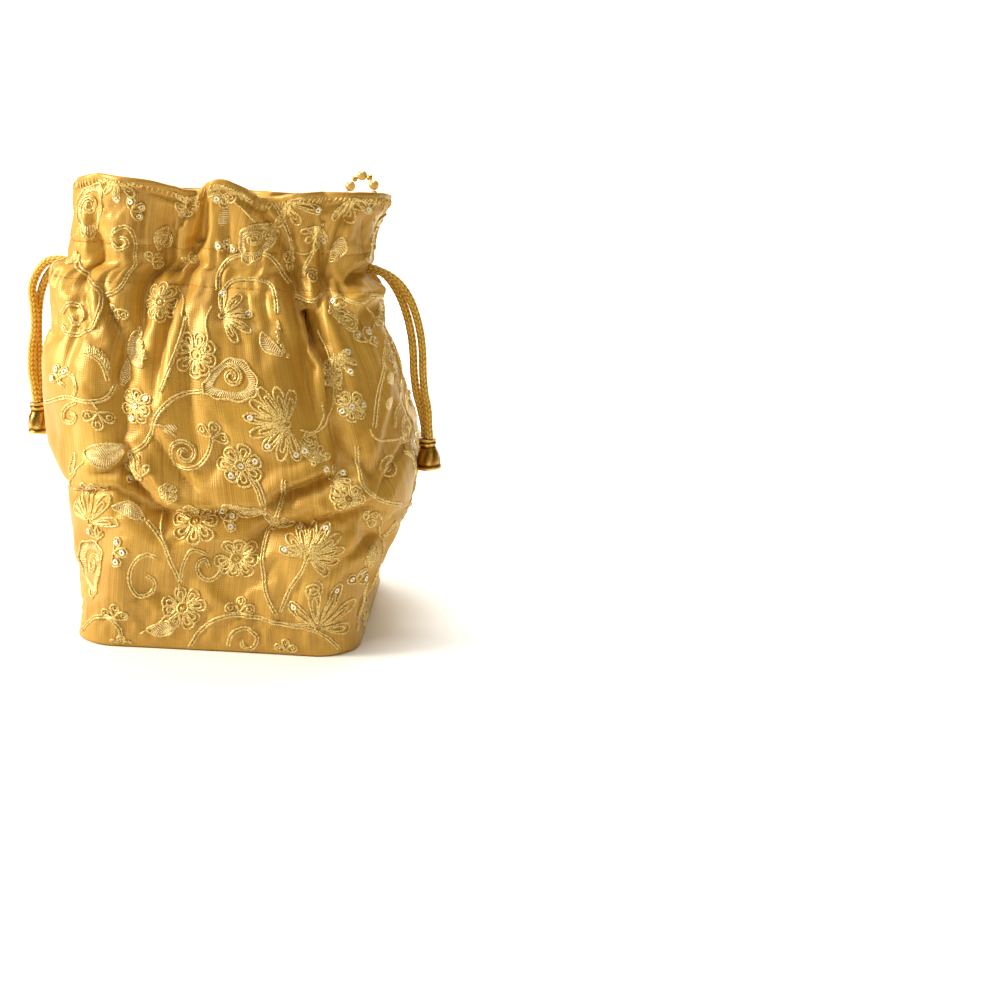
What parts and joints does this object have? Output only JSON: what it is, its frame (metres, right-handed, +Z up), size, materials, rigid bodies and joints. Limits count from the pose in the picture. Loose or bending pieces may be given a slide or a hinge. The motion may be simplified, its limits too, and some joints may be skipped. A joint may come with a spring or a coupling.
{
  "type": "drawstring reticule",
  "caption": "Gathered silk drawstring purse on a stiff rounded square base, with two drawcords that end in bells, a lining and a beaded handle",
  "frame": {"origin": "middle of the base panel's resting face", "axes": "+Z up, the front with the cleft faces -Y, +X to the right seen from the front"},
  "size_m": [0.2139, 0.14, 0.2282],
  "materials": {
    "embroidered_silk": "gold dupion silk with corded thread embroidery, soft sheen",
    "plain_silk": "plain gold dupion silk, soft sheen",
    "lining_cloth": "plain woven lining, matte",
    "braided_cord": "braided rayon cord, soft gloss",
    "antique_brass": "embossed thin metal cap, antiqued, satin",
    "gold_beads": "pearl and gold coated beads, glossy"
  },
  "bodies": {
    "root": {"bag_shell": "embroidered_silk", "lining": "lining_cloth", "base_panel": "plain_silk", "cord_left_run": "braided_cord", "cord_left_front": "braided_cord", "cord_left_back": "braided_cord", "bell_left": "antique_brass", "cord_right_run": "braided_cord", "cord_right_front": "braided_cord", "cord_right_back": "braided_cord", "bell_right": "antique_brass", "bead_handle": "gold_beads"}
  },
  "joints": []
}
